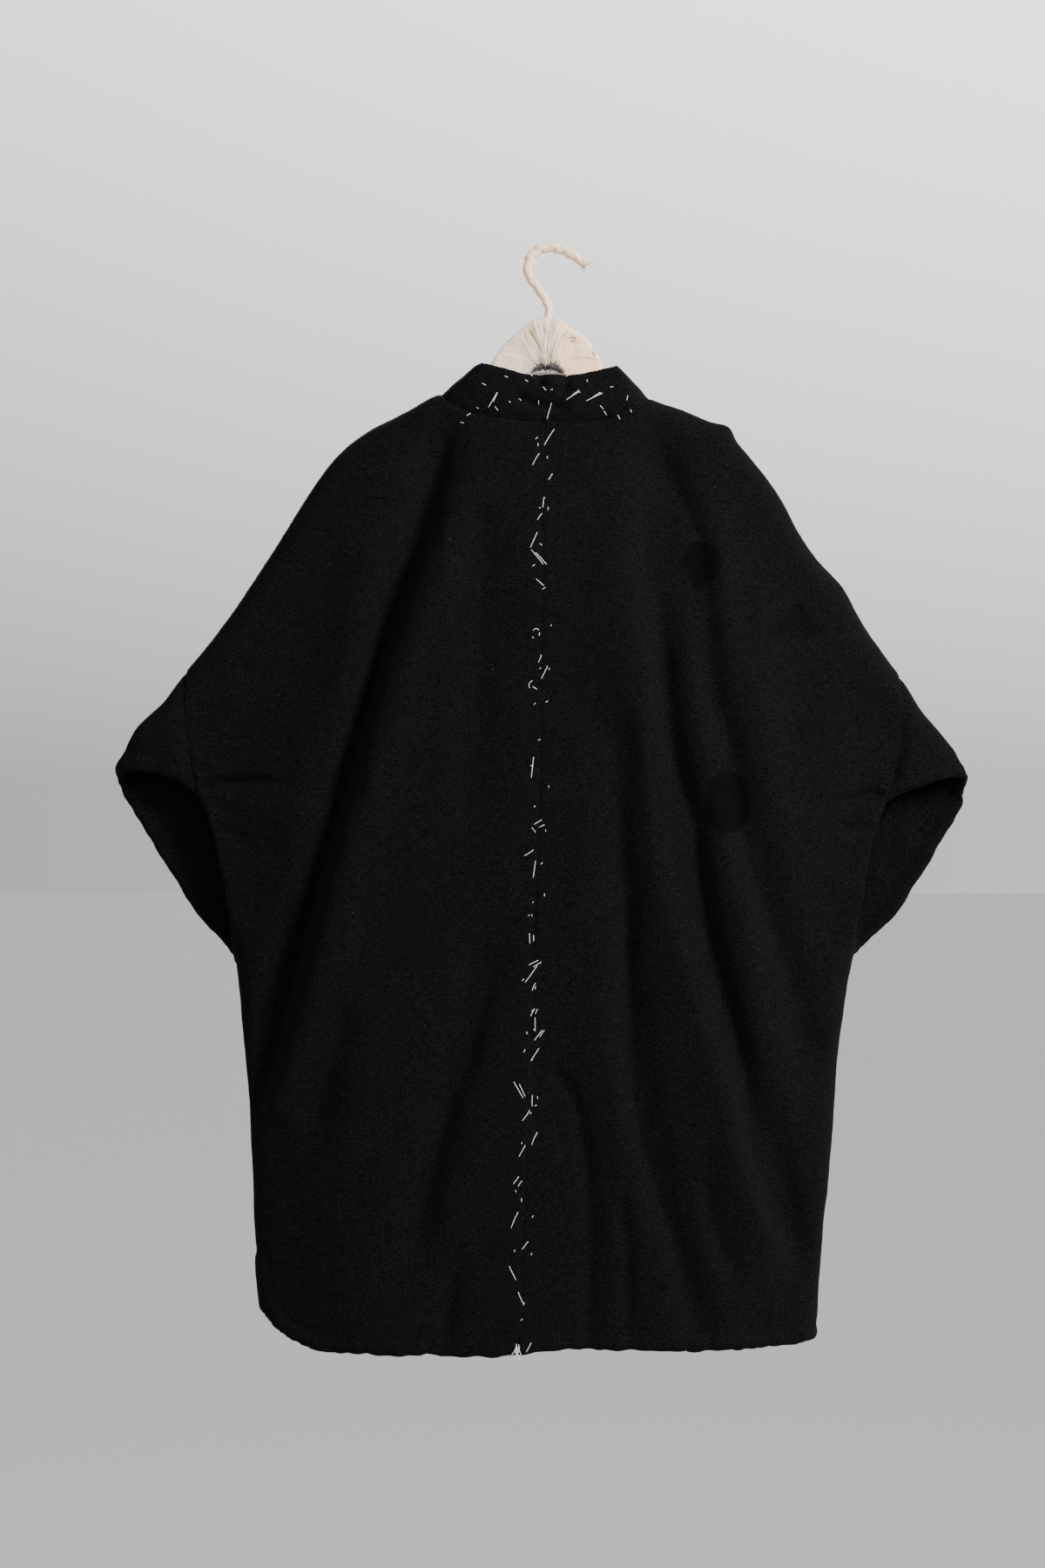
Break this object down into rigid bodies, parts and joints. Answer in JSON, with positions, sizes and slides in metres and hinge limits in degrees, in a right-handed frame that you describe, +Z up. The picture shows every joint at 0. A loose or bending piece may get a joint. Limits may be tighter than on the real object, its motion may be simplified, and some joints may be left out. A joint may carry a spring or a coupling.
{
  "type": "hanten jacket on a cloth-wrapped hanger",
  "caption": "Short wadded cotton jacket with wide short sleeves and a padded collar band, hung flat on a cloth-wrapped hanger whose hook hangs on a wall nail.",
  "frame": {"origin": "inner top of the hanger's hook, where it hangs on a nail", "axes": "+Z up, -Y out of the garment's back, which faces the viewer, +Y towards the wall, +X to the viewer's right"},
  "size_m": [0.783, 0.0883, 1.0171],
  "materials": {
    "cloth": "soft matt black cotton with a faint nap",
    "collar_cloth": "soft matt black cotton, double and padded",
    "wrapping": "matt cream cotton strip, wound",
    "thread": "white cotton basting thread"
  },
  "bodies": {
    "root": {"back_left": "cloth", "back_right": "cloth", "front_left": "cloth", "front_right": "cloth", "sleeve_left": "cloth", "sleeve_right": "cloth", "collar": "collar_cloth", "hanger_body": "wrapping", "hanger_hook": "wrapping"}
  },
  "joints": []
}
